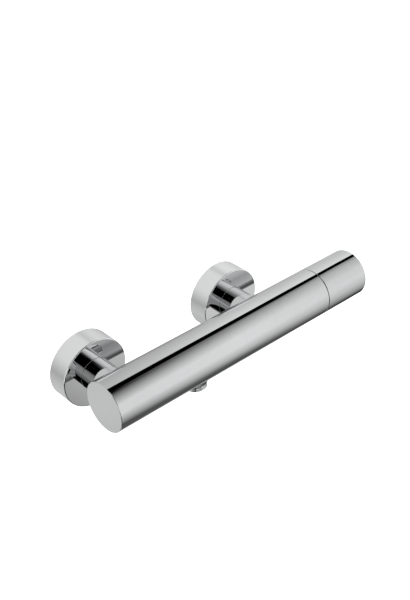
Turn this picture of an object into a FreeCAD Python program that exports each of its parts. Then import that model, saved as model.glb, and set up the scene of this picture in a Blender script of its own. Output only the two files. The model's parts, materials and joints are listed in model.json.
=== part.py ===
import FreeCAD, Part
import math
import os

# Wall-mounted bar shower mixer with a turning handle, in millimetres.
# The origin is on the axis of the hot inlet at the wall plane: +X runs along the bar
# to the cold inlet and the handle, +Y into the wall and +Z up.

# Place on the wall
inlet_spacing = 150.0
eccentric_offset = 8.0
wall_to_bar_axis = 58.3

# Bar
bar_diameter = 44.0
closed_end_overhang = 21.4
cartridge_end_overhang = 62.2
bar_end_chamfer = 0.5

# Waterways in the bar
gallery_diameter = 8.0
mixed_gallery_diameter = 7.2
cross_drill_diameter = 7.0
gallery_overrun = 1.5
waterway_wall = 1.0
hot_port_angle = 35.0
cold_port_angle = -35.0

# Inlet necks, cast in one with the bar
neck_diameter = 28.0
neck_bore = 16.0
tail_diameter = 22.0
tail_collar_length = 2.5
tail_collar_height = 1.7

# Union nuts and their sealing washers
union_thread_diameter = 26.44
nut_wall = 1.78
nut_lip_thickness = 2.9
nut_play = 0.5
nut_plate_gap = 0.5
washer_thickness = 2.0
strainer_thickness = 0.6

# Eccentric unions
union_head_length = 5.8
union_plate_thickness = 3.2
union_plate_gap = 0.3
inlet_thread_diameter = 20.956
inlet_thread_length = 20.0
inlet_thread_chamfer = 1.0
inlet_bore = 14.0
bore_overlap = 1.6

# Escutcheons
escutcheon_diameter = 61.5
escutcheon_wall = 1.75
escutcheon_front_wall = 2.0
escutcheon_chamfer = 0.8
escutcheon_nut_gap = 0.75

# Hose outlet
outlet_from_hot_inlet = 71.5
outlet_drop = 28.3
outlet_thread_diameter = 20.956
outlet_thread_chamfer = 0.7
outlet_shank_diameter = 20.0
outlet_nipple_length = 16.8
outlet_lip_thickness = 2.0
outlet_lip_bore = 11.2
outlet_drill_diameter = 12.0
boss_step = 0.8
boss_drop = 0.8
boss_taper = 18.0

# Check valve in the hose outlet
valve_diameter = 15.6
valve_length = 14.0
valve_wall = 1.2
valve_seat_thickness = 2.0
valve_seat_bore = 8.4
poppet_diameter = 11.6
poppet_thickness = 2.0
poppet_wing_thickness = 1.0
poppet_wing_length = 3.4
valve_spring_diameter = 12.8
valve_spring_wire = 1.2

# Ceramic cartridge
disc_diameter = 30.0
disc_thickness = 4.0
disc_port_diameter = 7.0
disc_port_land = 1.0
centre_port_diameter = 6.0
cartridge_wall = 2.0
base_thickness = 5.0
pocket_depth = 2.0
pocket_rim = 1.2
pocket_width = 80.0
pocket_angle = -110.0
carrier_thickness = 3.8
drive_pin_diameter = 3.0
drive_pin_land = 2.5
drive_pin_length = 1.5
stop_lug_width = 20.0
stop_lug_height = 1.6
stop_lug_gap = 0.4
stop_slack = 1.0
handle_turn = 120.0
housing_end_wall = 4.0
housing_neck_diameter = 19.0
housing_neck_length = 9.5
stem_diameter = 12.0
stem_square = 8.4
retaining_nut_length = 10.0
retaining_nut_slot = 3.0
retaining_nut_recess = 3.5

# Handle
handle_length = 49.5
handle_wall = 3.5
handle_end_wall = 7.5
handle_chamfer = 0.8
glide_ring_thickness = 0.65
glide_ring_recess = 0.5
glide_ring_width = 4.2
hub_inset = 3.0
hub_length = 16.0
grub_screw_diameter = 5.0
plug_diameter = 6.0
plug_thickness = 2.6
plug_recess = 0.3

# Clearances
thread_clearance = 0.1
running_clearance = 0.05
press_clearance = 0.02
lapped_clearance = 0.02
free_clearance = 0.3
seat_clearance = 0.05
glide_clearance = 0.15

# Directions
ALONG = FreeCAD.Vector(1, 0, 0)
TO_WALL = FreeCAD.Vector(0, 1, 0)
UP = FreeCAD.Vector(0, 0, 1)
DOWN = FreeCAD.Vector(0, 0, -1)

# Diameters that follow from the ceramic discs
cartridge_diameter = disc_diameter + 2 * cartridge_wall
port_circle_diameter = disc_diameter - disc_port_diameter - 2 * disc_port_land
carrier_diameter = disc_diameter - 2 * (stop_lug_height + stop_lug_gap)
drive_pin_circle_diameter = carrier_diameter - drive_pin_diameter - 2 * drive_pin_land

# Radii that several pieces share
bar_radius = bar_diameter / 2
neck_radius = neck_diameter / 2
tail_radius = tail_diameter / 2
union_radius = union_thread_diameter / 2
head_radius = union_radius - thread_clearance
socket_radius = cartridge_diameter / 2 + free_clearance
stem_radius = stem_diameter / 2
port_radius = port_circle_diameter / 2
handle_bore_radius = bar_radius - handle_wall
valve_bore_radius = valve_diameter / 2 + thread_clearance

# Distances from the bar axis towards the wall
wall_plane = wall_to_bar_axis
plate_back = wall_plane - union_plate_gap
plate_front = plate_back - union_plate_thickness
head_face = plate_front - union_head_length
neck_end = head_face - washer_thickness
collar_front = neck_end - tail_collar_length
nut_lip_back = collar_front - seat_clearance
nut_front = nut_lip_back - nut_lip_thickness
neck_shoulder = nut_front - nut_play
nut_back = plate_front - nut_plate_gap
escutcheon_inner_face = nut_front - escutcheon_nut_gap
escutcheon_front = escutcheon_inner_face - escutcheon_front_wall

# Distances from the bar axis down to the hose
boss_face = bar_radius + boss_drop
nipple_top = outlet_drop - outlet_nipple_length
valve_end = outlet_drop - outlet_lip_thickness
valve_top = valve_end - valve_length
seat_face = valve_top + valve_seat_thickness
poppet_top = seat_face + seat_clearance
poppet_bottom = poppet_top + poppet_thickness

# Distances along the bar from the hot inlet
bar_left = -closed_end_overhang
bar_right = inlet_spacing + cartridge_end_overhang
retaining_nut_outer = bar_right - retaining_nut_recess
housing_shoulder = retaining_nut_outer - retaining_nut_length
housing_neck_end = housing_shoulder + housing_neck_length
housing_cavity_end = housing_shoulder - housing_end_wall
carrier_outer = housing_cavity_end - running_clearance
carrier_inner = carrier_outer - carrier_thickness
moving_disc_inner = carrier_inner - disc_thickness
fixed_disc_outer = moving_disc_inner - lapped_clearance
base_outer = fixed_disc_outer - disc_thickness
socket_floor = base_outer - base_thickness
handle_start = bar_right + glide_ring_thickness + glide_clearance
handle_end = handle_start + handle_length
hub_start = handle_start + hub_inset
hub_end = hub_start + hub_length
grub_screw_place = (hub_start + hub_end) / 2

# The bar axis seen from the origin
bar_origin = FreeCAD.Vector(0, -wall_to_bar_axis, eccentric_offset)
INLETS = {"hot": 0.0, "cold": inlet_spacing}


def place(along, depth=0.0, height=0.0):
    """Point at a distance along the bar, towards the wall and up from the bar axis."""
    return FreeCAD.Vector(along, depth, height)


def rod(diameter, start, direction, length):
    """Round rod or drill."""
    return Part.makeCylinder(diameter / 2, length, start, direction)


def turned(points, centre, axis):
    """Solid turned about an axis from (distance along the axis, radius) points."""
    side = ALONG if abs(axis.z) > 0 else UP
    corners = [centre + axis * along + side * radius for along, radius in points]
    outline = Part.makePolygon(corners + corners[:1])
    return Part.Face(outline).revolve(centre, axis, 360)


def ring(inner_radius, outer_radius, start, end, centre, axis):
    """Ring of rectangular section."""
    section = [(start, inner_radius), (end, inner_radius), (end, outer_radius), (start, outer_radius)]
    return turned(section, centre, axis)


def sector(radius, start, length, middle_angle, width):
    """Pie slice about the bar axis, whose angle is measured from the wall side upwards."""
    slice_solid = Part.makeCylinder(radius, length, place(start), ALONG, width)
    reference = slice_solid.CenterOfMass
    current = math.degrees(math.atan2(reference.z, reference.y))
    return slice_solid.rotate(place(0), ALONG, middle_angle - current)


def on_port_circle(along, angle):
    """Centre of a port at an angle from the wall side upwards."""
    turn = math.radians(angle)
    return place(along, port_radius * math.cos(turn), port_radius * math.sin(turn))


def square_bar(width, start, length):
    """Square bar centred on the bar axis."""
    return Part.makeBox(length, width, width, place(start, -width / 2, -width / 2))


def group(solids):
    """Like pieces that stay separate solids."""
    return Part.makeCompound(solids)


def pair(piece):
    """The same piece at the hot and at the cold inlet."""
    return group([piece(inlet) for inlet in INLETS.values()])


def with_ports(disc, start, length, port_diameter):
    """Disc with the hot, cold and mixed water ports drilled through."""
    for angle in (hot_port_angle, cold_port_angle):
        disc = disc.cut(rod(port_diameter, on_port_circle(start, angle), ALONG, length))
    return disc.cut(rod(centre_port_diameter, place(start), ALONG, length))


def bar_casting():
    """Bar with both inlet necks and the tapered boss of the hose outlet in one casting."""
    chamfered = bar_radius - bar_end_chamfer
    shoulder = bar_left + bar_end_chamfer
    profile = [(bar_left, 0), (bar_left, chamfered), (shoulder, bar_radius)]
    profile += [(bar_right, bar_radius), (bar_right, 0)]
    bar = turned(profile, place(0), ALONG)
    necks = [inlet_neck(inlet) for inlet in INLETS.values()]
    return bar.multiFuse(necks + [outlet_boss()])


def inlet_neck(inlet):
    """Neck with a narrower tail, whose collar is rolled out behind the union nut."""
    collar_radius = tail_radius + tail_collar_height
    profile = [(0, 0), (0, neck_radius), (neck_shoulder, neck_radius), (neck_shoulder, tail_radius)]
    profile += [(collar_front, tail_radius), (collar_front, collar_radius), (neck_end, collar_radius)]
    profile += [(neck_end, 0)]
    return turned(profile, place(inlet), TO_WALL)


def outlet_boss():
    """Boss that flares out from the nipple into the underside of the bar."""
    face_radius = outlet_thread_diameter / 2 + boss_step
    root_radius = face_radius + boss_face * math.tan(math.radians(boss_taper))
    return Part.makeCone(root_radius, face_radius, boss_face, place(outlet_from_hot_inlet), DOWN)


def bar_body():
    """Cast brass bar with the cartridge socket, the waterways and the threads for its fittings."""
    body = bar_casting()
    body = body.cut(rod(2 * socket_radius, place(socket_floor), ALONG, bar_right - socket_floor))
    for angle, inlet in ((hot_port_angle, INLETS["hot"]), (cold_port_angle, INLETS["cold"])):
        body = body.cut(inlet_waterway(inlet, angle))
    mixed_start = outlet_from_hot_inlet - outlet_drill_diameter / 2 - gallery_overrun
    mixed_gallery = rod(mixed_gallery_diameter, place(mixed_start), ALONG, socket_floor - mixed_start)
    outlet_drill = rod(outlet_drill_diameter, place(outlet_from_hot_inlet), DOWN, nipple_top)
    thread_start = place(outlet_from_hot_inlet, 0, -nipple_top)
    thread_diameter = outlet_shank_diameter + 2 * thread_clearance
    outlet_thread = rod(thread_diameter, thread_start, DOWN, outlet_nipple_length)
    return body.cut(mixed_gallery).cut(outlet_drill).cut(outlet_thread)


def inlet_waterway(inlet, angle):
    """Bore of a neck, its cross drill and the gallery that leads on to the cartridge."""
    gallery_start = on_port_circle(inlet - cross_drill_diameter / 2 - gallery_overrun, angle)
    gallery = rod(gallery_diameter, gallery_start, ALONG, socket_floor - gallery_start.x)
    bore_floor = gallery_start.y + gallery_diameter / 2 + waterway_wall
    bore = rod(neck_bore, place(inlet, bore_floor), TO_WALL, neck_end - bore_floor)
    cross_start = on_port_circle(inlet, angle)
    cross_drill = rod(cross_drill_diameter, cross_start, TO_WALL, bore_floor - cross_start.y)
    return bore.multiFuse([cross_drill, gallery])


def union_nut(inlet):
    """Hexagon union nut whose lip is held by the collar of the neck."""
    reach = (union_radius + nut_wall) / math.cos(math.pi / 6)
    turns = [math.radians(60 * corner) for corner in range(6)]
    corners = [place(inlet + reach * math.cos(turn), nut_front, reach * math.sin(turn)) for turn in turns]
    hexagon = Part.Face(Part.makePolygon(corners + corners[:1])).extrude(TO_WALL * (nut_back - nut_front))
    lip_hole = rod(tail_diameter + 2 * free_clearance, place(inlet, nut_front), TO_WALL, nut_lip_thickness)
    thread = rod(union_thread_diameter, place(inlet, nut_lip_back), TO_WALL, nut_back - nut_lip_back)
    return hexagon.cut(lip_hole).cut(thread)


def union_washer(inlet):
    """Sealing washer between the neck and the eccentric union."""
    return ring(neck_bore / 2, union_radius - free_clearance, neck_end, head_face, place(inlet), TO_WALL)


def strainer(inlet):
    """Flat gauze disc carried inside the sealing washer."""
    start = (neck_end + head_face - strainer_thickness) / 2
    return rod(neck_bore - 2 * press_clearance, place(inlet, start), TO_WALL, strainer_thickness)


def eccentric_union(inlet):
    """Union with offset ends: a head in the union nut, a plate and the thread into the wall."""
    head = rod(2 * head_radius, place(inlet, head_face), TO_WALL, plate_back - head_face)
    lower = place(inlet, plate_front, -eccentric_offset)
    lower_round = rod(2 * head_radius, lower, TO_WALL, union_plate_thickness)
    web = Part.makeBox(2 * head_radius, union_plate_thickness, eccentric_offset, lower - ALONG * head_radius)
    thread_radius = inlet_thread_diameter / 2
    thread_end = wall_plane + inlet_thread_length
    profile = [(plate_front, 0), (plate_front, thread_radius)]
    profile += [(thread_end - inlet_thread_chamfer, thread_radius)]
    profile += [(thread_end, thread_radius - inlet_thread_chamfer), (thread_end, 0)]
    thread = turned(profile, place(inlet, 0, -eccentric_offset), TO_WALL)
    bores_meet = (plate_front + plate_back) / 2
    head_bore_end = bores_meet + bore_overlap / 2
    head_drill = rod(neck_bore, place(inlet, head_face), TO_WALL, head_bore_end - head_face)
    inlet_bore_start = bores_meet - bore_overlap / 2
    inlet_drill_start = place(inlet, inlet_bore_start, -eccentric_offset)
    inlet_drill = rod(inlet_bore, inlet_drill_start, TO_WALL, thread_end - inlet_bore_start)
    solid = head.multiFuse([lower_round, web, thread]).removeSplitter()
    return solid.cut(head_drill).cut(inlet_drill)


def escutcheon(inlet):
    """Turned cup that slides on the neck and covers the union against the wall."""
    outer = escutcheon_diameter / 2
    inner = outer - escutcheon_wall
    hole = neck_radius + running_clearance
    profile = [(escutcheon_front, hole), (escutcheon_front, outer - escutcheon_chamfer)]
    profile += [(escutcheon_front + escutcheon_chamfer, outer), (wall_plane, outer), (wall_plane, inner)]
    profile += [(escutcheon_inner_face, inner), (escutcheon_inner_face, hole)]
    return turned(profile, place(inlet), TO_WALL)


def hose_nipple():
    """Threaded nipple for the shower hose, with a lip that holds the check valve in its bore."""
    shank = outlet_shank_diameter / 2
    thread = outlet_thread_diameter / 2
    lip = outlet_lip_bore / 2
    thread_end = outlet_drop - outlet_thread_chamfer
    profile = [(nipple_top, valve_bore_radius), (nipple_top, shank), (boss_face, shank), (boss_face, thread)]
    profile += [(thread_end, thread), (outlet_drop, thread - outlet_thread_chamfer), (outlet_drop, lip)]
    profile += [(valve_end, lip), (valve_end, valve_bore_radius)]
    return turned(profile, place(outlet_from_hot_inlet), DOWN)


def check_valve_body():
    """Sleeve in the nipple, with the seat of the check valve at its top."""
    outer = valve_diameter / 2
    bore = outer - valve_wall
    seat = valve_seat_bore / 2
    profile = [(valve_top, seat), (valve_top, outer), (valve_end, outer), (valve_end, bore)]
    profile += [(seat_face, bore), (seat_face, seat)]
    return turned(profile, place(outlet_from_hot_inlet), DOWN)


def check_valve_poppet():
    """Disc closing the seat from below, with crossed wings guided in the seat."""
    disc = rod(poppet_diameter, place(outlet_from_hot_inlet, 0, -poppet_top), DOWN, poppet_thickness)
    wing_width = valve_seat_bore - 2 * running_clearance
    half = wing_width / 2
    thin = poppet_wing_thickness / 2
    root = place(outlet_from_hot_inlet, 0, -poppet_top)
    along = Part.makeBox(wing_width, poppet_wing_thickness, poppet_wing_length, root - place(half, thin))
    across = Part.makeBox(poppet_wing_thickness, wing_width, poppet_wing_length, root - place(thin, half))
    guide = rod(wing_width, root, UP, poppet_wing_length)
    return disc.fuse(along.fuse(across).common(guide))


def check_valve_spring():
    """Closing spring between the poppet and the lip of the nipple, as its outer sleeve."""
    outer = valve_spring_diameter / 2
    inner = outer - valve_spring_wire
    return ring(inner, outer, poppet_bottom, valve_end, place(outlet_from_hot_inlet), DOWN)


def cartridge_base():
    """Base of the cartridge that leads the galleries to the ceramic discs."""
    blank = rod(cartridge_diameter, place(socket_floor), ALONG, base_thickness)
    return with_ports(blank, socket_floor, base_thickness, gallery_diameter)


def fixed_disc():
    """Lapped ceramic disc that stands still on the base."""
    blank = rod(disc_diameter, place(base_outer), ALONG, disc_thickness)
    return with_ports(blank, base_outer, disc_thickness, disc_port_diameter)


def drive_pins(start, length, diameter):
    """Two pins that carry the moving disc round."""
    reach = drive_pin_circle_diameter / 2
    return [rod(diameter, place(start, 0, side * reach), ALONG, length) for side in (-1, 1)]


def moving_disc():
    """Turning ceramic disc whose blind pocket joins first the cold and then the hot port to the centre."""
    disc = rod(disc_diameter, place(moving_disc_inner), ALONG, disc_thickness)
    pocket_radius = disc_diameter / 2 - pocket_rim
    lobe = sector(pocket_radius, moving_disc_inner, pocket_depth, pocket_angle, pocket_width)
    centre = rod(centre_port_diameter, place(moving_disc_inner), ALONG, pocket_depth)
    pin_start = carrier_inner - drive_pin_length - seat_clearance
    pin_holes = drive_pins(pin_start, disc_thickness, drive_pin_diameter + 2 * running_clearance)
    return disc.cut(lobe.fuse(centre)).cut(group(pin_holes))


def stem():
    """Stem with the carrier flange, its stop lug and drive pins, and a square end for the handle."""
    carrier_radius = carrier_diameter / 2
    profile = [(carrier_inner, 0), (carrier_inner, carrier_radius), (carrier_outer, carrier_radius)]
    profile += [(carrier_outer, stem_radius), (housing_neck_end, stem_radius), (housing_neck_end, 0)]
    solid = turned(profile, place(0), ALONG)
    square = square_bar(stem_square, housing_neck_end, hub_end - housing_neck_end)
    lug = sector(carrier_radius + stop_lug_height, carrier_inner, carrier_thickness, 0, stop_lug_width)
    pins = drive_pins(carrier_inner - drive_pin_length, drive_pin_length, drive_pin_diameter)
    return solid.multiFuse([square, lug] + pins).removeSplitter()


def cartridge_housing():
    """Housing round the discs, with the stops of the handle's turn and the bearing of the stem."""
    cavity = disc_diameter / 2 + running_clearance
    bearing = stem_radius + running_clearance
    outer = cartridge_diameter / 2
    neck = housing_neck_diameter / 2
    profile = [(base_outer, cavity), (housing_cavity_end, cavity), (housing_cavity_end, bearing)]
    profile += [(housing_neck_end, bearing), (housing_neck_end, neck), (housing_shoulder, neck)]
    profile += [(housing_shoulder, outer), (base_outer, outer)]
    shell = turned(profile, place(0), ALONG)
    free_turn = handle_turn + stop_lug_width + 2 * stop_slack
    stop_start = carrier_inner + running_clearance
    stop_length = housing_cavity_end - stop_start
    stop = sector(outer, stop_start, stop_length, handle_turn / 2 + 180, 360 - free_turn)
    inside = rod(carrier_diameter + 2 * free_clearance, place(stop_start), ALONG, stop_length)
    return shell.fuse(stop.cut(inside)).removeSplitter()


def retaining_nut():
    """Threaded ring that holds the cartridge in its socket, slotted for a key."""
    inner = housing_neck_diameter / 2 + free_clearance
    outer = socket_radius - thread_clearance
    nut = ring(inner, outer, housing_shoulder, retaining_nut_outer, place(0), ALONG)
    slot_start = place(retaining_nut_outer - retaining_nut_slot, -outer, -retaining_nut_slot / 2)
    return nut.cut(Part.makeBox(retaining_nut_slot, 2 * outer, retaining_nut_slot, slot_start))


def glide_ring():
    """Dark ring on the end of the bar that the handle turns against."""
    end = bar_right + glide_ring_thickness
    outer = bar_radius - glide_ring_recess
    return ring(outer - glide_ring_width, outer, bar_right, end, place(0), ALONG)


def handle_shell():
    """Cylindrical handle, flush with the bar, with a screw hole in its underside."""
    bore_end = handle_end - handle_end_wall
    edge = handle_end - handle_chamfer
    profile = [(handle_start, handle_bore_radius), (handle_start, bar_radius), (edge, bar_radius)]
    profile += [(handle_end, bar_radius - handle_chamfer), (handle_end, 0), (bore_end, 0)]
    profile += [(bore_end, handle_bore_radius)]
    shell = turned(profile, place(0), ALONG)
    return shell.cut(rod(plug_diameter, place(grub_screw_place), DOWN, bar_radius))


def handle_hub():
    """Hub pressed into the handle, with a square hole for the stem and a tapped hole."""
    hub = rod(2 * (handle_bore_radius - press_clearance), place(hub_start), ALONG, hub_length)
    hub = hub.cut(square_bar(stem_square + 2 * running_clearance, hub_start, hub_length))
    tapped = rod(grub_screw_diameter + 2 * thread_clearance, place(grub_screw_place), DOWN, bar_radius)
    return hub.cut(tapped)


def grub_screw():
    """Set screw that holds the hub on the flat of the stem."""
    start = stem_square / 2
    end = handle_bore_radius - free_clearance
    return rod(grub_screw_diameter, place(grub_screw_place, 0, -start), DOWN, end - start)


def screw_plug():
    """Plug that closes the screw hole, rounded to the handle."""
    outer_start = place(grub_screw_place - plug_diameter)
    outer = rod(bar_diameter - 2 * plug_recess, outer_start, ALONG, 2 * plug_diameter)
    start = bar_radius - plug_recess - plug_thickness
    plug = rod(plug_diameter - 2 * press_clearance, place(grub_screw_place, 0, -start), DOWN, bar_radius)
    return plug.common(outer)


def build_nodes():
    """Every piece of the mixer by name, about the bar axis."""
    nodes = {
        "bar_body": bar_body(),
        "union_nuts": pair(union_nut),
        "union_washers": pair(union_washer),
        "strainers": pair(strainer),
        "eccentric_unions": pair(eccentric_union),
        "hose_nipple": hose_nipple(),
        "check_valve_body": check_valve_body(),
        "check_valve_poppet": check_valve_poppet(),
        "check_valve_spring": check_valve_spring(),
        "cartridge_base": cartridge_base(),
        "cartridge_housing": cartridge_housing(),
        "fixed_disc": fixed_disc(),
        "moving_disc": moving_disc(),
        "stem": stem(),
        "retaining_nut": retaining_nut(),
        "glide_ring": glide_ring(),
        "handle_shell": handle_shell(),
        "handle_hub": handle_hub(),
        "grub_screw": grub_screw(),
        "screw_plug": screw_plug(),
    }
    for side, inlet in INLETS.items():
        nodes["escutcheon_" + side] = escutcheon(inlet)
    return nodes


def main():
    os.makedirs("parts", exist_ok=True)
    for name, shape in build_nodes().items():
        shape.translate(bar_origin)
        shape.exportStep("parts/" + name + ".step")


main()
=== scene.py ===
import json
import math

import bmesh
import bpy
from bpy.props import FloatProperty, FloatVectorProperty, IntProperty, PointerProperty
from mathutils import Matrix, Vector


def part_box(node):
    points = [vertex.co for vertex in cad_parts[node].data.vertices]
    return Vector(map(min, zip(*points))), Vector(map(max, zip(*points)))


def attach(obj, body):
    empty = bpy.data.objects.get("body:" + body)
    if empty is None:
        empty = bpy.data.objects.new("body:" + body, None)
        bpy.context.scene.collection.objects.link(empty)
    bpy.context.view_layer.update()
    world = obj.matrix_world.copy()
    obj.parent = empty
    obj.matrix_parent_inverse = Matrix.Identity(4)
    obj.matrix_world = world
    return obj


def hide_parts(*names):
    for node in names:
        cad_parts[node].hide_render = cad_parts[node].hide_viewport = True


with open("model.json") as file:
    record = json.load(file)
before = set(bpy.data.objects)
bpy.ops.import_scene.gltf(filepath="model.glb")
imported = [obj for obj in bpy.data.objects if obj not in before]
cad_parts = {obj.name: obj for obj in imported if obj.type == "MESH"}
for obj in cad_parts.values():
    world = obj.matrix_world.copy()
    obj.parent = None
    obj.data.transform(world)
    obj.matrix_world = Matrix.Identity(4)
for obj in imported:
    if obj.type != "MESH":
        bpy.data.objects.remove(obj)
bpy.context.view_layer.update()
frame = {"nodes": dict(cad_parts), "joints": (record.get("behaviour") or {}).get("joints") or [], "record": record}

bl_info = {
    "name": "Bar Shower Mixer",
    "version": (1, 0, 0),
    "blender": (4, 5, 0),
    "location": "3D View > Sidebar > Mixer",
    "description": "Models and finishes the pieces of a wall-mounted bar shower mixer",
    "category": "Object",
}

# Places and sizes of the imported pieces, in metres
JOINTS = {joint["name"]: joint for joint in frame["joints"]}
MOUNTS = {mount["name"]: mount for mount in frame["record"]["mounts"]}
BAR_AXIS = Vector(JOINTS["handle_turn"]["pos_m"])
INLETS = {side: MOUNTS[side + "_inlet"]["pos_m"][0] for side in ("hot", "cold")}
INLET_HEIGHT = MOUNTS["hot_inlet"]["pos_m"][2]
OUTLET = MOUNTS["hose_outlet"]["pos_m"][0]
THREAD_RADIUS = MOUNTS["hot_inlet"]["dims"]["r_mm"] / 1000
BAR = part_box("bar_body")
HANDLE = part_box("handle_shell")
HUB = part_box("handle_hub")
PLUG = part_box("screw_plug")
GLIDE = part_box("glide_ring")
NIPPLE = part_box("hose_nipple")
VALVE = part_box("check_valve_body")
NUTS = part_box("union_nuts")
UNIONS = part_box("eccentric_unions")
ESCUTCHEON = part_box("escutcheon_hot")
SOCKET_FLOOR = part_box("cartridge_base")[0].x
BAR_RADIUS = min(HANDLE[1].z - BAR_AXIS.z, BAR_AXIS.z - HANDLE[0].z, BAR_AXIS.y - HANDLE[0].y)
CUP_RADIUS = min(ESCUTCHEON[1].z - BAR_AXIS.z, BAR_AXIS.z - ESCUTCHEON[0].z,
                 (ESCUTCHEON[1].x - ESCUTCHEON[0].x) / 2)

ALONG = Vector((1, 0, 0))
TO_WALL = Vector((0, 1, 0))
DOWN = Vector((0, 0, -1))
SHARP_ANGLE = math.radians(30)
NUT_CHAMFER = math.radians(30)
TOUCH = 1e-6
PLUG_PLAY = 2e-5
MARK_HEIGHT = 2e-4
MARK_SPREAD = (0.12, 0.42)


def length(name, description, default):
    """A length that the user may change."""
    return FloatProperty(name=name, description=description, default=default, min=0.0,
                         precision=5, subtype="DISTANCE", unit="LENGTH")


def colour(name, description, default):
    """A surface colour that the user may change."""
    return FloatVectorProperty(name=name, description=description, default=default, size=3,
                               min=0.0, max=1.0, subtype="COLOR")


def share(name, description, default):
    """A plain value from nought to one."""
    return FloatProperty(name=name, description=description, default=default, min=0.0, max=1.0,
                         subtype="FACTOR")


def angle(name, description, degrees):
    """An angle that the user may change."""
    return FloatProperty(name=name, description=description, default=math.radians(degrees),
                         subtype="ANGLE", unit="ROTATION")


class MixerSizes(bpy.types.PropertyGroup):
    """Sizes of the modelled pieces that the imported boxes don't give."""

    steps: IntProperty(name="Steps", description="Faces round each turned piece", default=256, min=32)
    thread_steps: IntProperty(name="Thread steps", description="Faces round each thread", default=96, min=32)
    rounding_steps: IntProperty(name="Rounding steps", description="Faces across a rounded edge", default=4)
    bar_end_round: length("Bar end", "Rounding of the bar's closed end", 0.0005)
    seam_round: length("Seam", "Rounding of the bar's and the ring's edges at the seam", 0.00006)
    handle_seam_round: length("Handle seam", "Rounding of the handle's edge at the seam", 0.0004)
    socket_radius: length("Socket", "Radius of the cartridge socket", 0.0173)
    neck_radius: length("Neck", "Radius of the inlet necks", 0.014)
    neck_bore: length("Neck bore", "Radius of the water way in the necks", 0.008)
    neck_bore_floor: length("Neck bore floor", "Distance from the bar axis to the end of the bore", 0.0136)
    tail_radius: length("Tail", "Radius of the neck inside the union nut", 0.011)
    collar_radius: length("Collar", "Radius of the collar behind the union nut", 0.0127)
    collar_length: length("Collar length", "Length of the collar behind the union nut", 0.0025)
    nut_play: length("Nut play", "Gap between the neck's shoulder and the union nut", 0.0005)
    boss_radius: length("Boss", "Radius of the outlet boss at its face", 0.01128)
    boss_taper: angle("Boss taper", "Slope of the outlet boss", 18.0)
    outlet_hole: length("Outlet hole", "Radius of the hole that takes the hose nipple", 0.0101)
    escutcheon_hole: length("Escutcheon hole", "Radius of the hole that slides on the neck", 0.01405)
    escutcheon_wall: length("Escutcheon wall", "Thickness of the escutcheon's rim", 0.00175)
    escutcheon_front: length("Escutcheon front", "Thickness of the escutcheon's front", 0.002)
    escutcheon_round: length("Escutcheon edge", "Rounding of the escutcheon's front edge", 0.0009)
    hole_round: length("Hole edge", "Rounding of the escutcheon hole's front edge", 0.0003)
    handle_end_wall: length("Handle end", "Thickness of the handle's closed end", 0.0075)
    handle_round: length("Handle edge", "Rounding of the handle's outer edge", 0.0009)
    nipple_shank: length("Nipple shank", "Radius of the nipple inside the boss", 0.01)
    nipple_bore: length("Nipple bore", "Radius of the bore for the check valve", 0.0079)
    nipple_lip: length("Nipple lip", "Radius of the opening in the nipple's lip", 0.0056)
    nipple_round: length("Nipple edge", "Rounding of the nipple's free end", 0.0007)
    thread_pitch: length("Thread pitch", "Distance from one thread to the next", 0.001814)
    wall_thread_depth: length("Wall thread depth", "Depth of the threads into the wall", 0.00116)
    hose_thread_depth: length("Hose thread depth", "Depth of the worn-down thread for the hose", 0.0003)
    union_radius: length("Union head", "Radius of the union's head and plate", 0.01312)
    union_plate: length("Union plate", "Thickness of the union's plate", 0.0032)
    union_plate_back: length("Union plate place", "Distance of the plate from the wall", 0.0003)
    union_bore: length("Union bore", "Radius of the bore in the wall thread", 0.007)
    thread_chamfer: length("Thread chamfer", "Chamfer at the end of the wall thread", 0.001)
    nut_flat: length("Nut flat", "Distance from the nut's axis to a flat", 0.015)
    nut_thread: length("Nut thread", "Radius of the nut's thread", 0.01322)
    nut_lip: length("Nut lip", "Thickness of the nut's lip", 0.0029)
    nut_hole: length("Nut hole", "Radius of the hole in the nut's lip", 0.0113)
    nut_round: length("Nut edge", "Rounding of the nut's edges", 0.0004)
    glide_width: length("Glide ring width", "Width of the ring in the seam", 0.0042)


class MixerColours(bpy.types.PropertyGroup):
    """Colours of the finishes."""

    chrome: colour("Chrome", "Polished chrome on the bar and the handle", (0.650, 0.655, 0.660))
    chrome_shade: colour("Chrome shade", "Thin places in the chrome", (0.632, 0.636, 0.640))
    # Painted light: a copy of the polished chrome painted brighter for the escutcheons and the bar's flat end,
    # standing in for their brighter reflections; its shade tone varies at random like the others
    mirror: colour("Painted lit chrome", "Chrome on the flat and the pressed pieces", (0.850, 0.855, 0.860))
    mirror_shade: colour("Painted lit chrome shade", "Thin places in the mirror chrome", (0.832, 0.836, 0.840))
    brass: colour("Brass", "Machined brass", (0.80, 0.62, 0.30))
    brass_shade: colour("Brass shade", "Brass dulled by handling", (0.70, 0.53, 0.25))
    steel: colour("Steel", "Stainless steel", (0.68, 0.67, 0.66))
    steel_shade: colour("Steel shade", "Steel between its wires and marks", (0.42, 0.42, 0.42))
    acetal: colour("Acetal", "Moulded plastic of the cartridge and valve", (0.82, 0.82, 0.79))
    acetal_shade: colour("Acetal shade", "Flow marks in the moulded plastic", (0.74, 0.74, 0.71))
    ceramic: colour("Ceramic", "Lapped alumina", (0.90, 0.89, 0.86))
    ceramic_shade: colour("Ceramic shade", "Grains in the alumina", (0.80, 0.79, 0.75))
    rubber: colour("Rubber", "Black rubber", (0.022, 0.022, 0.023))
    rubber_shade: colour("Rubber shade", "Dusty rubber", (0.050, 0.050, 0.050))
    glide: colour("Glide ring", "Dark plastic in the seam", (0.012, 0.012, 0.012))
    glide_shade: colour("Glide ring shade", "Rubbed dark plastic", (0.030, 0.030, 0.030))


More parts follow.
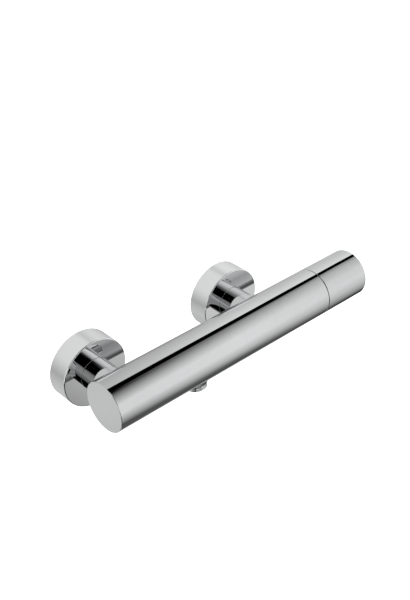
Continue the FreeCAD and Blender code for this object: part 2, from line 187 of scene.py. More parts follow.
class StudioSettings(bpy.types.PropertyGroup):
    """Camera, floor and light."""

    camera_place: FloatVectorProperty(name="Camera", description="Place of the camera", size=3,
                                      default=(-0.3535, -0.5469, 0.4986), subtype="TRANSLATION",
                                      unit="LENGTH")
    azimuth: angle("Azimuth", "Direction of the camera round the mixer", -41.87)
    elevation: angle("Elevation", "Height of the camera over the horizon", 33.84)
    roll: angle("Roll", "Turn of the camera about its view", -0.86)
    lens: FloatProperty(name="Lens", description="Focal length", default=59.37, unit="CAMERA")
    sensor: FloatProperty(name="Sensor", description="Long side of the sensor", default=36.0, unit="CAMERA")
    floor_drop: length("Floor drop", "Distance of the floor below the bar", 1.1)
    floor_size: length("Floor size", "Width of the floor", 12.0)
    floor_white: share("Floor white", "Brightness of the floor", 0.9)
    soft_light: share("Soft light", "Even light from all round", 0.7)
    lamp_height: length("Lamp height", "Height of the lamp over the bar", 1.6)
    lamp_size: length("Lamp size", "Width of the lamp", 1.4)
    lamp_power: FloatProperty(name="Lamp power", description="Power of the lamp", default=20.0, unit="POWER")
    tent_radius: length("Tent radius", "Distance of the tent's cloth from the bar", 0.9)
    tent_length: length("Tent length", "Length of the tent along the bar", 5.0)
    tent_glow: FloatProperty(name="Tent glow", description="Brightness of the tent's cloth", default=1.1,
                             min=0.0)
    tent_steps: IntProperty(name="Tent steps", description="Faces round the tent", default=96)
    slit_width: angle("Slit", "Half the width of the tent's dark slit overhead", 8.5)
    slit_far_width: angle("Slit's far end", "Half the width of the slit at its far end", 6.8)
    slit_soft: angle("Slit edge", "Softness of the slit's edges", 1.5)
    window_glow: share("Window glow", "Brightness of the window in the tent's front", 0.85)


# Brightness of the tent's cloth by direction about the bar: degrees up from the front, and level.
# Past the slit overhead the directions run down the wall side to below.
TENT_FROM, TENT_TO = -120.0, 240.0
TENT_LEFT = [(-120, 0.4), (-80, 0.5), (-62, 0.0), (-20, 0.2), (0, 0.35), (25, 0.3), (50, 0.0), (72, 0.6),
             (104, 0.75), (150, 0.7), (200, 0.4), (225, 0.55), (240, 0.4)]
TENT_NEAR = [(-120, 0.4), (-95, 0.1), (-65, 0.1), (-35, 0.55), (-10, 0.9), (25, 0.9), (50, 0.5), (80, 0.0),
             (103, 0.0), (106, 0.65), (170, 0.5), (190, 0.3), (240, 0.4)]
TENT_MIDDLE = [(-120, 0.6), (-92, 0.05), (-70, 0.15), (-40, 0.65), (-10, 0.95), (30, 0.95), (55, 0.7),
               (85, 0.3), (95, 0.0), (105, 0.0), (108, 0.9), (170, 0.6), (190, 0.4), (240, 0.6)]
TENT_RIGHT = [(-120, 0.05), (-92, 0.05), (-65, 0.4), (-35, 0.7), (0, 0.9), (40, 0.85), (80, 0.6), (95, 0.35),
              (112, 0.95), (150, 0.75), (190, 0.6), (240, 0.7)]
# Where one stretch of cloth gives way to the next along the bar, in radii of the tent
TENT_PLACES = (0.22, 0.46, 0.78, 1.12)
TENT_FAR_LEFT = (-2.1, -1.75)
SLIT_START, SLIT_DRIFT = math.radians(95.0), math.radians(8.5)
# Dark frame in the tent's front and the bright window inside it, along the bar and up from the front
FRAME_PLACE, FRAME_WIDTH, FRAME_SOFT = -0.36, 0.39, 0.12
FRAME_HEIGHT = (math.radians(62.0), math.radians(70.0))
WINDOW_PLACE, WINDOW_WIDTH, WINDOW_SOFT = -0.16, 0.30, 0.10
WINDOW_HEIGHT = (math.radians(18.0), math.radians(24.0))


# Modelling helpers

def spun(profile, centre, axis, steps):
    """Closed skin turned about an axis from (distance along the axis, radius) points."""
    side = ALONG if axis.z else Vector((0, 0, 1))
    bm = bmesh.new()
    corners = [bm.verts.new(centre + axis * along + side * radius) for along, radius in profile]
    edges = [bm.edges.new(pair) for pair in zip(corners, corners[1:])]
    if profile[-1][1] > 0:
        edges.append(bm.edges.new((corners[-1], corners[0])))
    bmesh.ops.spin(bm, geom=corners + edges, cent=centre, axis=axis, angle=math.tau, steps=steps,
                   use_merge=True, use_duplicate=False)
    return closed(bm)


def closed(bm):
    """Merges doubles and turns the faces outwards."""
    bmesh.ops.remove_doubles(bm, verts=bm.verts, dist=TOUCH)
    bmesh.ops.dissolve_degenerate(bm, edges=bm.edges, dist=TOUCH)
    bmesh.ops.recalc_face_normals(bm, faces=bm.faces)
    return bm


def round_ring(bm, centre, axis, ring, size, steps):
    """Rounds the edge that runs round at (distance along the axis, radius)."""
    def on_ring(vert):
        offset = vert.co - centre
        along = offset.dot(axis)
        radius = (offset - axis * along).length
        return abs(along - ring[0]) < TOUCH and abs(radius - ring[1]) < TOUCH

    edges = [edge for edge in bm.edges if all(on_ring(vert) for vert in edge.verts)]
    if not edges:
        raise RuntimeError(f"no edge at {ring}")
    bmesh.ops.bevel(bm, geom=edges, offset=size, offset_type="OFFSET", segments=steps, profile=0.5,
                    affect="EDGES", clamp_overlap=True, material=-1)
    return bm


def threaded_stretch(start, end, radius, pitch, rings_per_turn=10):
    """Rings along a threaded stretch, close enough to carry the thread."""
    count = max(2, round(abs(end - start) / pitch * rings_per_turn))
    return [(start + (end - start) * ring / count, radius) for ring in range(count + 1)]


def cut_thread(bm, centre, axis, start, end, radius, pitch, depth):
    """Sinks a round-crested screw thread into a turned stretch, running out at both ends."""
    side = axis.orthogonal().normalized()
    other = axis.cross(side)
    for vert in bm.verts:
        offset = vert.co - centre
        along = offset.dot(axis)
        across = offset - axis * along
        if abs(across.length - radius) > TOUCH or not start <= along <= end:
            continue
        turn = math.atan2(across.dot(other), across.dot(side)) / math.tau
        run_out = min(1.0, (along - start) / pitch, (end - along) / pitch)
        groove = 0.5 - 0.5 * math.cos(math.tau * (along / pitch - turn))
        vert.co -= across.normalized() * depth * run_out * groove
    return bm


def temporary(bm):
    """Short-lived object of a mesh, linked so that modifiers work on it."""
    mesh = bpy.data.meshes.new("temporary")
    bm.to_mesh(mesh)
    bm.free()
    made = bpy.data.objects.new("temporary", mesh)
    bpy.context.scene.collection.objects.link(made)
    return made


def combined(base, tools, operation):
    """One closed skin of a mesh joined with, or cut by, other meshes."""
    made = temporary(base)
    others = [temporary(tool) for tool in tools]
    for other in others:
        change = made.modifiers.new("combine", "BOOLEAN")
        change.object = other
        change.operation = operation
        change.solver = "EXACT"
    evaluated = made.evaluated_get(bpy.context.evaluated_depsgraph_get())
    mesh = bpy.data.meshes.new_from_object(evaluated)
    result = bmesh.new()
    result.from_mesh(mesh)
    bpy.data.meshes.remove(mesh)
    for spent in [made] + others:
        skin = spent.data
        bpy.data.objects.remove(spent)
        bpy.data.meshes.remove(skin)
    return closed(result)


def piece(name, bm, body, slot, material, *nodes):
    """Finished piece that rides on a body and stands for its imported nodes."""
    mesh = bpy.data.meshes.new(name)
    bm.to_mesh(mesh)
    bm.free()
    mesh.shade_smooth()
    mesh.set_sharp_from_angle(angle=SHARP_ANGLE)
    mesh.materials.append(material)
    made = bpy.data.objects.new(name, mesh)
    bpy.context.scene.collection.objects.link(made)
    shading = made.modifiers.new("even_shading", "WEIGHTED_NORMAL")
    shading.keep_sharp = True
    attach(made, body)
    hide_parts(*nodes)
    return made


# Material helpers

def add_node(tree, kind, links=(), **settings):
    """Adds a shader node, sets its options and links or sets its inputs."""
    made = tree.nodes.new(kind)
    for name, value in settings.items():
        setattr(made, name, value)
    for socket, value in dict(links).items():
        target = made.inputs[socket]
        if isinstance(value, bpy.types.NodeSocket):
            tree.links.new(value, target)
        else:
            target.default_value = value
    return made


def math_node(tree, operation, *values):
    """Result of a plain sum on values or sockets."""
    return add_node(tree, "ShaderNodeMath", enumerate(values), operation=operation).outputs[0]


def ranged(tree, value, low, high, new_low=0.0, new_high=1.0, kind="SMOOTHSTEP"):
    """Value moved from one range to another, held at its ends."""
    links = {"Value": value, "From Min": low, "From Max": high, "To Min": new_low, "To Max": new_high}
    return add_node(tree, "ShaderNodeMapRange", links, interpolation_type=kind).outputs["Result"]


def blended(tree, factor, first, second):
    """Colour between two others."""
    made = add_node(tree, "ShaderNodeMix", data_type="RGBA")
    for socket, value in ((0, factor), (6, first), (7, second)):
        if isinstance(value, bpy.types.NodeSocket):
            tree.links.new(value, made.inputs[socket])
        else:
            made.inputs[socket].default_value = value
    return made.outputs[2]


def opaque(rgb):
    """Colour with full alpha."""
    return (*rgb, 1.0)


def surface_marks():
    """Node group of a broad haze and of fine marks drawn out along one direction."""
    name = "surface_marks"
    if name in bpy.data.node_groups:
        return bpy.data.node_groups[name]
    tree = bpy.data.node_groups.new(name, "ShaderNodeTree")
    tree.interface.new_socket("Vector", in_out="INPUT", socket_type="NodeSocketVector")
    tree.interface.new_socket("Haze Scale", in_out="INPUT", socket_type="NodeSocketFloat")
    tree.interface.new_socket("Mark Scale", in_out="INPUT", socket_type="NodeSocketVector")
    tree.interface.new_socket("Haze", in_out="OUTPUT", socket_type="NodeSocketFloat")
    tree.interface.new_socket("Marks", in_out="OUTPUT", socket_type="NodeSocketFloat")
    given = tree.nodes.new("NodeGroupInput").outputs
    result = tree.nodes.new("NodeGroupOutput").inputs
    haze = add_node(tree, "ShaderNodeTexNoise", {"Vector": given["Vector"], "Scale": given["Haze Scale"],
                                                 "Detail": 3.0, "Roughness": 0.55})
    drawn = add_node(tree, "ShaderNodeVectorMath", {0: given["Vector"], 1: given["Mark Scale"]},
                     operation="MULTIPLY")
    marks = add_node(tree, "ShaderNodeTexNoise",
                     {"Vector": drawn.outputs[0], "Scale": 1.0, "Detail": 2.0, "Roughness": 0.6})
    tree.links.new(haze.outputs[0], result["Haze"])
    tree.links.new(marks.outputs[0], result["Marks"])
    return tree


def finish(name, tone, metallic, roughness, haze_scale, mark_scale, bump=0.0):
    """Material whose colour, gloss and relief vary with the haze and the marks of its surface."""
    if name in bpy.data.materials:
        return bpy.data.materials[name]
    tones = bpy.context.scene.mixer_colours
    first, second = getattr(tones, tone), getattr(tones, tone + "_shade")
    material = bpy.data.materials.new(name)
    material.use_nodes = True
    tree = material.node_tree
    shader = tree.nodes["Principled BSDF"]
    shader.inputs["Metallic"].default_value = metallic
    place = add_node(tree, "ShaderNodeTexCoord").outputs["Object"]
    marks = add_node(tree, "ShaderNodeGroup", node_tree=surface_marks())
    tree.links.new(place, marks.inputs["Vector"])
    marks.inputs["Haze Scale"].default_value = haze_scale
    marks.inputs["Mark Scale"].default_value = mark_scale
    both = math_node(tree, "MULTIPLY", marks.outputs["Haze"], marks.outputs["Marks"])
    spread = ranged(tree, both, *MARK_SPREAD)
    tree.links.new(blended(tree, spread, opaque(first), opaque(second)), shader.inputs["Base Color"])
    tree.links.new(ranged(tree, spread, 0.0, 1.0, *roughness, kind="LINEAR"), shader.inputs["Roughness"])
    if bump:
        relief = add_node(tree, "ShaderNodeBump", {"Height": marks.outputs["Marks"], "Strength": bump,
                                                   "Distance": MARK_HEIGHT})
        tree.links.new(relief.outputs["Normal"], shader.inputs["Normal"])
    return material


def polished_chrome():
    """Polished plate of the turned pieces with a breath of haze."""
    return finish("bright_chrome", "chrome", metallic=1.0, roughness=(0.01, 0.03), haze_scale=60.0,
                  mark_scale=(250.0, 250.0, 250.0))


def painted_lit_chrome_finish():
    """Polished chrome painted brighter for the escutcheons and the bar's flat end: painted light that stands in
    for their brighter reflections.
    """
    return finish("painted_lit_chrome_finish", "mirror", metallic=1.0, roughness=(0.01, 0.03), haze_scale=45.0,
                  mark_scale=(200.0, 200.0, 200.0))


def machined_brass():
    """Brass with the lines of the turning tool."""
    return finish("machined_brass", "brass", metallic=1.0, roughness=(0.22, 0.34), haze_scale=90.0,
                  mark_scale=(40.0, 2400.0, 40.0), bump=0.08)


def stainless_steel():
    """Drawn stainless steel."""
    return finish("stainless_steel", "steel", metallic=1.0, roughness=(0.25, 0.45), haze_scale=200.0,
                  mark_scale=(1800.0, 300.0, 1800.0), bump=0.2)


def moulded_acetal():
    """Off-white engineering plastic."""
    return finish("moulded_acetal", "acetal", metallic=0.0, roughness=(0.40, 0.58), haze_scale=80.0,
                  mark_scale=(900.0, 900.0, 900.0), bump=0.15)


def lapped_ceramic():
    """Fine-grained alumina, lapped flat."""
    return finish("lapped_ceramic", "ceramic", metallic=0.0, roughness=(0.18, 0.34), haze_scale=250.0,
                  mark_scale=(3000.0, 3000.0, 3000.0), bump=0.05)


def black_rubber():
    """Soft sealing rubber."""
    return finish("black_rubber", "rubber", metallic=0.0, roughness=(0.65, 0.85), haze_scale=120.0,
                  mark_scale=(1500.0, 1500.0, 1500.0), bump=0.3)


def glide_plastic():
    """Dark plastic of the ring in the seam."""
    return finish("seam_plastic", "glide", metallic=0.0, roughness=(0.40, 0.60), haze_scale=150.0,
                  mark_scale=(400.0, 2000.0, 2000.0), bump=0.1)


# Pieces

class AddBar(bpy.types.Operator):
    """Model the bar with both inlet necks and the boss of the hose outlet"""

    bl_idname = "mixer.add_bar"
    bl_label = "Bar"

    def execute(self, context):
        sizes = context.scene.mixer_sizes
        bar = piece("polished_bar", self.body(sizes), "bar", "polished_chrome", polished_chrome(), "bar_body")
        bar.data.materials.append(painted_lit_chrome_finish())
        # The flat closed end takes the second material, the chrome painted brighter as painted light for the end's
        # brighter reflections
        for face in bar.data.polygons:
            if face.center.x < BAR[0].x + TOUCH:
                face.material_index = 1
        return {"FINISHED"}

    def body(self, sizes):
        """Bar, necks and boss in one skin, with the hole for the nipple."""
        centre = Vector((0, BAR_AXIS.y, BAR_AXIS.z))
        start, end = BAR[0].x, BAR[1].x
        profile = [(start, 0), (start, BAR_RADIUS), (end, BAR_RADIUS), (end, sizes.socket_radius)]
        profile += [(SOCKET_FLOOR, sizes.socket_radius), (SOCKET_FLOOR, 0)]
        bar = spun(profile, centre, ALONG, 2 * sizes.steps)
        round_ring(bar, centre, ALONG, (start, BAR_RADIUS), sizes.bar_end_round, sizes.rounding_steps)
        round_ring(bar, centre, ALONG, (end, BAR_RADIUS), sizes.seam_round, sizes.rounding_steps)
        necks = [self.neck(sizes, inlet) for inlet in INLETS.values()]
        solid = combined(bar, necks + [self.boss(sizes)], "UNION")
        return combined(solid, [self.nipple_hole(sizes)], "DIFFERENCE")

    def neck(self, sizes, inlet):
        """Neck with its tail, collar and bore."""
        end = BAR[1].y - BAR_AXIS.y
        collar = end - sizes.collar_length
        shoulder = NUTS[0].y - sizes.nut_play - BAR_AXIS.y
        floor = sizes.neck_bore_floor
        profile = [(0, 0), (0, sizes.neck_radius), (shoulder, sizes.neck_radius)]
        profile += [(shoulder, sizes.tail_radius), (collar, sizes.tail_radius), (collar, sizes.collar_radius)]
        profile += [(end, sizes.collar_radius), (end, sizes.neck_bore), (floor, sizes.neck_bore), (floor, 0)]
        return spun(profile, Vector((inlet, BAR_AXIS.y, BAR_AXIS.z)), TO_WALL, sizes.steps)

    def boss(self, sizes):
        """Taper that leads from the bar to the nipple."""
        face = BAR_AXIS.z - BAR[0].z
        root = sizes.boss_radius + face * math.tan(sizes.boss_taper)
        profile = [(0, 0), (0, root), (face, sizes.boss_radius), (face, 0)]
        return spun(profile, Vector((OUTLET, BAR_AXIS.y, BAR_AXIS.z)), DOWN, sizes.steps)

    def nipple_hole(self, sizes):
        """Drill for the shank of the nipple."""
        top = BAR_AXIS.z - NIPPLE[1].z
        bottom = BAR_AXIS.z - NIPPLE[0].z
        profile = [(top, 0), (top, sizes.outlet_hole), (bottom, sizes.outlet_hole), (bottom, 0)]
        return spun(profile, Vector((OUTLET, BAR_AXIS.y, BAR_AXIS.z)), DOWN, sizes.steps)


class AddHandle(bpy.types.Operator):
    """Model the turning handle with the hole for its set screw"""

    bl_idname = "mixer.add_handle"
    bl_label = "Handle"

    def execute(self, context):
        sizes = context.scene.mixer_sizes
        piece("polished_handle", self.shell(sizes), "handle", "polished_chrome", polished_chrome(),
              "handle_shell")
        return {"FINISHED"}

    def shell(self, sizes):
        """Cup with rounded edges and the screw hole underneath."""
        centre = Vector((0, BAR_AXIS.y, BAR_AXIS.z))
        start, end = HANDLE[0].x, HANDLE[1].x
        bore = HUB[1].z - BAR_AXIS.z
        floor = end - sizes.handle_end_wall
        profile = [(floor, 0), (floor, bore), (start, bore), (start, BAR_RADIUS), (end, BAR_RADIUS), (end, 0)]
        shell = spun(profile, centre, ALONG, 2 * sizes.steps)
        round_ring(shell, centre, ALONG, (end, BAR_RADIUS), sizes.handle_round, sizes.rounding_steps)
        round_ring(shell, centre, ALONG, (start, BAR_RADIUS), sizes.handle_seam_round, sizes.rounding_steps)
        hole = [(0, 0), (0, self.hole_radius()), (2 * BAR_RADIUS, self.hole_radius()), (2 * BAR_RADIUS, 0)]
        drill = spun(hole, Vector(((PLUG[0].x + PLUG[1].x) / 2, BAR_AXIS.y, BAR_AXIS.z)), DOWN, sizes.steps)
        return combined(shell, [drill], "DIFFERENCE")

    def hole_radius(self):
        """Radius of the screw hole, a hair wider than its plug."""
        return (PLUG[1].x - PLUG[0].x) / 2 + PLUG_PLAY


class AddEscutcheons(bpy.types.Operator):
    """Model both escutcheons"""

    bl_idname = "mixer.add_escutcheons"
    bl_label = "Escutcheons"

    def execute(self, context):
        sizes = context.scene.mixer_sizes
        for side, inlet in INLETS.items():
            node = "escutcheon_" + side
            cup = self.cup(sizes, Vector((inlet, 0, BAR_AXIS.z)))
            # The escutcheons take the chrome painted brighter: painted light standing in for their brighter
            # reflections
            piece("polished_" + node, cup, node, "polished_chrome", painted_lit_chrome_finish(), node)
        return {"FINISHED"}

    def cup(self, sizes, centre):
        """Turned cup with a rounded front edge, open to the wall."""
        front, back = ESCUTCHEON[0].y, ESCUTCHEON[1].y
        outer = CUP_RADIUS
        inner = outer - sizes.escutcheon_wall
        inside = front + sizes.escutcheon_front
        profile = [(front, sizes.escutcheon_hole), (front, outer), (back, outer), (back, inner)]
        profile += [(inside, inner), (inside, sizes.escutcheon_hole)]
        cup = spun(profile, centre, TO_WALL, sizes.steps)
        round_ring(cup, centre, TO_WALL, (front, outer), sizes.escutcheon_round, sizes.rounding_steps)
        return round_ring(cup, centre, TO_WALL, (front, sizes.escutcheon_hole), sizes.hole_round,
                          sizes.rounding_steps)


class AddNipple(bpy.types.Operator):
    """Model the hose nipple with its thread"""

    bl_idname = "mixer.add_nipple"
    bl_label = "Hose nipple"

    def execute(self, context):
        sizes = context.scene.mixer_sizes
        piece("polished_nipple", self.nipple(sizes), "bar", "polished_chrome", polished_chrome(),
              "hose_nipple")
        return {"FINISHED"}

    def nipple(self, sizes):
        """Turned nipple with a rounded end."""
        centre = Vector((OUTLET, BAR_AXIS.y, 0))
        top, end = -NIPPLE[1].z, -NIPPLE[0].z
        face = -BAR[0].z
        lip = -VALVE[0].z
        outer = (NIPPLE[1].x - NIPPLE[0].x) / 2
        thread = threaded_stretch(face, end, outer, sizes.thread_pitch)
        profile = [(top, sizes.nipple_bore), (top, sizes.nipple_shank), (face, sizes.nipple_shank)] + thread
        profile += [(end, sizes.nipple_lip), (lip, sizes.nipple_lip), (lip, sizes.nipple_bore)]
        nipple = spun(profile, centre, DOWN, sizes.steps)
        cut_thread(nipple, centre, DOWN, face, end, outer, sizes.thread_pitch, sizes.hose_thread_depth)
        return round_ring(nipple, centre, DOWN, (end, outer), sizes.nipple_round, sizes.rounding_steps)


class AddUnions(bpy.types.Operator):
    """Model the eccentric unions and the union nuts behind the escutcheons"""

    bl_idname = "mixer.add_unions"
    bl_label = "Unions and nuts"

    def execute(self, context):
        sizes = context.scene.mixer_sizes
        for side, inlet in INLETS.items():
            piece("brass_union_" + side, self.union(sizes, inlet), "bar", "bare_brass", machined_brass(),
                  "eccentric_unions")
            piece("chrome_union_nut_" + side, self.nut(sizes, inlet), "bar", "polished_chrome",
                  polished_chrome(), "union_nuts")
        return {"FINISHED"}

    def union(self, sizes, inlet):
        """Head, plate and wall thread with offset bores."""
        upper = Vector((inlet, 0, BAR_AXIS.z))
        lower = Vector((inlet, 0, INLET_HEIGHT))
        plate_back = -sizes.union_plate_back
        plate_front = plate_back - sizes.union_plate
        head_face, end = UNIONS[0].y, UNIONS[1].y
        reach = sizes.union_radius
        head = spun([(head_face, 0), (head_face, reach), (plate_back, reach), (plate_back, 0)], upper,
                    TO_WALL, sizes.steps)
        low_round = spun([(plate_front, 0), (plate_front, reach), (plate_back, reach), (plate_back, 0)],
                         lower, TO_WALL, sizes.steps)
        thread_end = end - sizes.thread_chamfer
        thread = threaded_stretch(plate_back, thread_end, THREAD_RADIUS, sizes.thread_pitch)
        profile = [(plate_front, 0), (plate_front, THREAD_RADIUS)] + thread
        profile += [(end, THREAD_RADIUS - sizes.thread_chamfer), (end, 0)]
        stud = spun(profile, lower, TO_WALL, sizes.thread_steps)
        cut_thread(stud, lower, TO_WALL, plate_back, thread_end, THREAD_RADIUS, sizes.thread_pitch,
                   sizes.wall_thread_depth)
        web = bmesh.new()
        bmesh.ops.create_cube(web, size=1.0)
        middle = Vector((inlet, (plate_front + plate_back) / 2, (BAR_AXIS.z + INLET_HEIGHT) / 2))
        bmesh.ops.scale(web, verts=web.verts, vec=(2 * reach, sizes.union_plate, BAR_AXIS.z - INLET_HEIGHT))
        bmesh.ops.translate(web, verts=web.verts, vec=middle)
        solid = combined(head, [low_round, web, stud], "UNION")
        return combined(solid, self.bores(sizes, upper, lower, head_face, end, middle.y), "DIFFERENCE")

    def bores(self, sizes, upper, lower, head_face, end, meeting):
        """Drills from both ends that meet in the plate."""
        overlap = sizes.union_plate / 4
        head_end = meeting + overlap
        head_start = head_face - overlap
        head_bore = [(head_start, 0), (head_start, sizes.neck_bore), (head_end, sizes.neck_bore),
                     (head_end, 0)]
        wall_start = meeting - overlap
        wall_bore = [(wall_start, 0), (wall_start, sizes.union_bore), (end + overlap, sizes.union_bore),
                     (end + overlap, 0)]
        return [spun(head_bore, upper, TO_WALL, sizes.steps), spun(wall_bore, lower, TO_WALL, sizes.steps)]

    def nut(self, sizes, inlet):
        """Hexagon nut with chamfered corners and a lip at its front."""
        centre = Vector((inlet, 0, BAR_AXIS.z))
        front, back = NUTS[0].y, NUTS[1].y
        corner = sizes.nut_flat / math.cos(math.pi / 6)
        hexagon = bmesh.new()
        bmesh.ops.create_cone(hexagon, cap_ends=True, segments=6, radius1=corner, radius2=corner,
                              depth=back - front)
        turn = Matrix.Rotation(math.pi / 2, 4, "X") @ Matrix.Rotation(math.pi / 6, 4, "Z")
        bmesh.ops.transform(hexagon, matrix=Matrix.Translation(centre + TO_WALL * (front + back) / 2) @ turn,
                            verts=hexagon.verts)
        slope = (corner - sizes.nut_flat) * math.tan(NUT_CHAMFER)
        crown = [(front, 0), (front, sizes.nut_flat), (front + slope, corner), (back - slope, corner),
                 (back, sizes.nut_flat), (back, 0)]
        lip_back = front + sizes.nut_lip
        inside = [(front - slope, 0), (front - slope, sizes.nut_hole), (lip_back, sizes.nut_hole),
                  (lip_back, sizes.nut_thread), (back + slope, sizes.nut_thread), (back + slope, 0)]
        nut = combined(hexagon, [spun(crown, centre, TO_WALL, sizes.steps)], "INTERSECT")
        return combined(nut, [spun(inside, centre, TO_WALL, sizes.steps)], "DIFFERENCE")


class AddGlideRing(bpy.types.Operator):
    """Model the dark ring in the seam of the handle"""

    bl_idname = "mixer.add_glide_ring"
    bl_label = "Glide ring"

    def execute(self, context):
        sizes = context.scene.mixer_sizes
        centre = Vector((0, BAR_AXIS.y, BAR_AXIS.z))
        start, end = GLIDE[0].x, GLIDE[1].x
        outer = GLIDE[1].z - BAR_AXIS.z
        inner = outer - sizes.glide_width
        ring = spun([(start, inner), (start, outer), (end, outer), (end, inner)], centre, ALONG, sizes.steps)
        round_ring(ring, centre, ALONG, (end, outer), sizes.seam_round, sizes.rounding_steps)
        piece("seam_glide_ring", ring, "bar", "glide_plastic", glide_plastic(), "glide_ring")
        return {"FINISHED"}


class FinishInnerPieces(bpy.types.Operator):
    """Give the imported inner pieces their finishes"""

    bl_idname = "mixer.finish_inner_pieces"
    bl_label = "Inner pieces"

    def execute(self, context):
        finishes = {
            polished_chrome(): ["screw_plug"],
            machined_brass(): ["stem", "retaining_nut", "handle_hub"],
            stainless_steel(): ["strainers", "check_valve_spring", "grub_screw"],
            moulded_acetal(): ["cartridge_base", "cartridge_housing", "check_valve_body",
                               "check_valve_poppet"],
            lapped_ceramic(): ["fixed_disc", "moving_disc"],
            black_rubber(): ["union_washers"],
        }
        for material, nodes in finishes.items():
            for node in nodes:
                slots = frame["nodes"][node].data.materials
                slots.clear()
                slots.append(material)
        return {"FINISHED"}


# Stage

class SetStage(bpy.types.Operator):
    """Set up the floor, the light tent, the lamp, the world and the camera"""

    bl_idname = "mixer.set_stage"
    bl_label = "Stage"

    def execute(self, context):
        studio = context.scene.mixer_studio
        context.scene.view_settings.view_transform = "Standard"
        self.floor(studio)
        self.tent(studio)
        self.lamp(studio)
        self.world(context.scene, studio)
        self.camera(context.scene, studio)
        return {"FINISHED"}

    def staged(self, name, bm, material):
        """Stage object that isn't part of the mixer."""
        mesh = bpy.data.meshes.new(name)
        bm.to_mesh(mesh)
        bm.free()
        mesh.shade_smooth()
        mesh.materials.append(material)
        made = bpy.data.objects.new(name, mesh)
        bpy.context.scene.collection.objects.link(made)
        return made

    def floor(self, studio):
        """Wide pale floor that the camera sees as white where no shadow falls."""
        bm = bmesh.new()
        bmesh.ops.create_grid(bm, x_segments=8, y_segments=8, size=studio.floor_size / 2)
        bmesh.ops.translate(bm, verts=bm.verts, vec=(BAR_AXIS.x, BAR_AXIS.y, BAR_AXIS.z - studio.floor_drop))
        material = bpy.data.materials.new("pale_floor")
        material.use_nodes = True
        tree = material.node_tree
        tree.nodes.clear()
        seen = self.seen_rays(tree)
        white = opaque([studio.floor_white] * 3)
        matt = add_node(tree, "ShaderNodeBsdfDiffuse", {"Color": white})
        glow = add_node(tree, "ShaderNodeEmission", {"Color": white, "Strength": seen})
        both = add_node(tree, "ShaderNodeAddShader", {0: matt.outputs[0], 1: glow.outputs[0]})
        add_node(tree, "ShaderNodeOutputMaterial", {"Surface": both.outputs[0]})
        self.staged("floor", bm, material)

    def seen_rays(self, tree):
        """One for the rays that show the background: straight, mirrored or through glass."""
        path = add_node(tree, "ShaderNodeLightPath").outputs
        mirrored = math_node(tree, "MAXIMUM", path["Is Glossy Ray"], path["Is Transmission Ray"])
        return math_node(tree, "MAXIMUM", path["Is Camera Ray"], mirrored)

    def tent(self, studio):
        """Long light tent round the bar, which only the polished pieces see."""
        centre = Vector((BAR_AXIS.x, BAR_AXIS.y, BAR_AXIS.z))
        bm = bmesh.new()
        half = studio.tent_length / 2
        side = Vector((0, 0, studio.tent_radius))
        ends = [bm.verts.new(centre + ALONG * half * way + side) for way in (-1, 1)]
        edge = bm.edges.new(ends)
        bmesh.ops.spin(bm, geom=ends + [edge], cent=centre, axis=ALONG, angle=math.tau,
                       steps=studio.tent_steps, use_merge=True, use_duplicate=False)
        closed(bm)
        tent = self.staged("light_tent", bm, self.tent_cloth(studio))
        tent.visible_camera = False
        tent.visible_diffuse = False
        tent.visible_shadow = False

    def tent_cloth(self, studio):
        """Glowing cloth that changes round the bar and along it, with a slit, a dark frame and a window."""
        material = bpy.data.materials.new("tent_cloth")
        material.use_nodes = True
        tree = material.node_tree
        tree.nodes.clear()
        place = add_node(tree, "ShaderNodeTexCoord").outputs["Object"]
        parts = add_node(tree, "ShaderNodeSeparateXYZ", {"Vector": place}).outputs
        ahead = math_node(tree, "SUBTRACT", BAR_AXIS.y, parts["Y"])
        height = math_node(tree, "SUBTRACT", parts["Z"], BAR_AXIS.z)
        low, high = math.radians(TENT_FROM), math.radians(TENT_TO)
        turn = math_node(tree, "WRAP", math_node(tree, "ARCTAN2", height, ahead), high, low)
        around = ranged(tree, turn, low, high, kind="LINEAR")
        along = math_node(tree, "DIVIDE", parts["X"], studio.tent_radius)
        ramps = [TENT_LEFT, TENT_NEAR, TENT_MIDDLE, TENT_RIGHT]
        cloth = self.level_ramp(tree, around, ramps[0])
        for ramp, near, far in zip(ramps[1:], TENT_PLACES, TENT_PLACES[1:]):
            blend = ranged(tree, along, near, far, kind="LINEAR")
            cloth = blended(tree, blend, cloth, self.level_ramp(tree, around, ramp))
        far_left = ranged(tree, along, *TENT_FAR_LEFT, kind="LINEAR")
        cloth = blended(tree, far_left, self.level_ramp(tree, around, TENT_MIDDLE), cloth)
        drift = ranged(tree, along, TENT_PLACES[1], TENT_PLACES[-1], kind="LINEAR")
        slit_place = math_node(tree, "MULTIPLY_ADD", drift, SLIT_DRIFT, SLIT_START)
        slit_width = ranged(tree, drift, 0.0, 1.0, studio.slit_width, studio.slit_far_width, kind="LINEAR")
        from_slit = math_node(tree, "ABSOLUTE", math_node(tree, "SUBTRACT", turn, slit_place))
        past_slit = ranged(tree, math_node(tree, "SUBTRACT", from_slit, slit_width), 0.0, studio.slit_soft)
        from_front = math_node(tree, "ABSOLUTE", turn)
        from_frame = math_node(tree, "ABSOLUTE", math_node(tree, "SUBTRACT", along, FRAME_PLACE))
        beside_frame = ranged(tree, from_frame, FRAME_WIDTH, FRAME_WIDTH + FRAME_SOFT)
        past_frame = math_node(tree, "MAXIMUM", beside_frame, ranged(tree, from_front, *FRAME_HEIGHT))
        from_window = math_node(tree, "ABSOLUTE", math_node(tree, "SUBTRACT", along, WINDOW_PLACE))
        window = math_node(tree, "MULTIPLY", ranged(tree, from_front, *WINDOW_HEIGHT, 1.0, 0.0),
                           ranged(tree, from_window, WINDOW_WIDTH, WINDOW_WIDTH + WINDOW_SOFT, 1.0, 0.0))
        shown = math_node(tree, "MULTIPLY", past_slit, past_frame)
        dimmed = blended(tree, shown, opaque([0.0] * 3), cloth)
        lit = blended(tree, window, dimmed, opaque([studio.window_glow] * 3))
        glow = add_node(tree, "ShaderNodeEmission", {"Color": lit, "Strength": studio.tent_glow})
        add_node(tree, "ShaderNodeOutputMaterial", {"Surface": glow.outputs[0]})
        return material

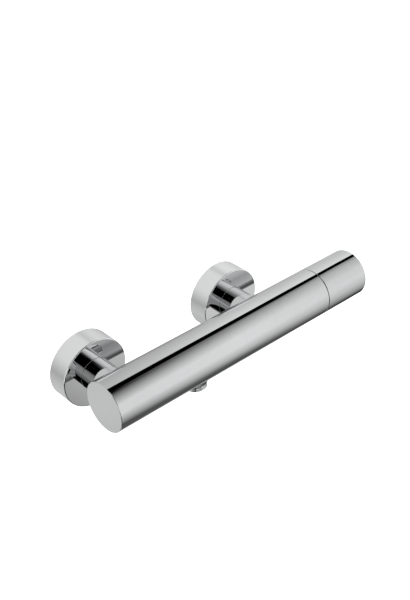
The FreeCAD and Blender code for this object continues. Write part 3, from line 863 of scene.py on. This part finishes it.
    def level_ramp(self, tree, around, levels):
        """Brightness of the cloth round the bar."""
        made = add_node(tree, "ShaderNodeValToRGB", {"Fac": around})
        stops = made.color_ramp.elements
        while len(stops) < len(levels):
            stops.new(1.0)
        for stop, (degrees, level) in zip(stops, levels):
            stop.position = (degrees - TENT_FROM) / (TENT_TO - TENT_FROM)
            stop.color = opaque([level] * 3)
        return made.outputs["Color"]

    def lamp(self, studio):
        """Wide soft lamp overhead, for the floor and the matt pieces."""
        light = bpy.data.lights.new("soft_lamp", "AREA")
        light.shape = "DISK"
        light.size = studio.lamp_size
        light.energy = studio.lamp_power
        made = bpy.data.objects.new("soft_lamp", light)
        bpy.context.scene.collection.objects.link(made)
        made.location = BAR_AXIS - DOWN * studio.lamp_height
        made.visible_glossy = False

    def world(self, scene, studio):
        """White background, and an even soft light for everything else."""
        world = bpy.data.worlds.new("white_room")
        scene.world = world
        world.use_nodes = True
        tree = world.node_tree
        tree.nodes.clear()
        level = ranged(tree, self.seen_rays(tree), 0.0, 1.0, studio.soft_light, 1.0, kind="LINEAR")
        light = add_node(tree, "ShaderNodeBackground", {"Color": opaque([1.0] * 3), "Strength": level})
        add_node(tree, "ShaderNodeOutputWorld", {"Surface": light.outputs[0]})

    def camera(self, scene, studio):
        """Camera at the photograph's angle."""
        across, rise = math.cos(studio.elevation), math.sin(studio.elevation)
        back = Vector((math.sin(studio.azimuth) * across, -math.cos(studio.azimuth) * across, rise))
        right = Vector((0, 0, 1)).cross(back).normalized()
        level = Matrix((right, back.cross(right), back)).transposed()
        data = bpy.data.cameras.new("camera")
        data.lens = studio.lens
        data.sensor_width = studio.sensor
        camera = bpy.data.objects.new("camera", data)
        scene.collection.objects.link(camera)
        turn = level @ Matrix.Rotation(studio.roll, 3, "Z")
        camera.matrix_world = Matrix.Translation(studio.camera_place) @ turn.to_4x4()
        scene.camera = camera


class MixerPanel(bpy.types.Panel):
    """Sizes, colours and steps of the mixer"""

    bl_idname = "MIXER_PT_pieces"
    bl_label = "Bar Shower Mixer"
    bl_space_type = "VIEW_3D"
    bl_region_type = "UI"
    bl_category = "Mixer"

    def draw(self, context):
        layout = self.layout
        for operator in OPERATORS:
            layout.operator(operator.bl_idname)
        for group in ("mixer_sizes", "mixer_colours", "mixer_studio"):
            settings = getattr(context.scene, group)
            box = layout.box()
            for name in settings.bl_rna.properties.keys():
                if name not in ("rna_type", "name"):
                    box.prop(settings, name)


OPERATORS = [AddBar, AddHandle, AddEscutcheons, AddNipple, AddUnions, AddGlideRing, FinishInnerPieces,
             SetStage]
CLASSES = [MixerSizes, MixerColours, StudioSettings, *OPERATORS, MixerPanel]


def register():
    for cls in CLASSES:
        bpy.utils.register_class(cls)
    bpy.types.Scene.mixer_sizes = PointerProperty(type=MixerSizes)
    bpy.types.Scene.mixer_colours = PointerProperty(type=MixerColours)
    bpy.types.Scene.mixer_studio = PointerProperty(type=StudioSettings)


def unregister():
    del bpy.types.Scene.mixer_studio
    del bpy.types.Scene.mixer_colours
    del bpy.types.Scene.mixer_sizes
    for cls in reversed(CLASSES):
        bpy.utils.unregister_class(cls)


def main():
    register()
    bpy.ops.mixer.add_bar()
    bpy.ops.mixer.add_handle()
    bpy.ops.mixer.add_escutcheons()
    bpy.ops.mixer.add_nipple()
    bpy.ops.mixer.add_unions()
    bpy.ops.mixer.add_glide_ring()
    bpy.ops.mixer.finish_inner_pieces()
    bpy.ops.mixer.set_stage()


if __name__ == "__main__":
    main()
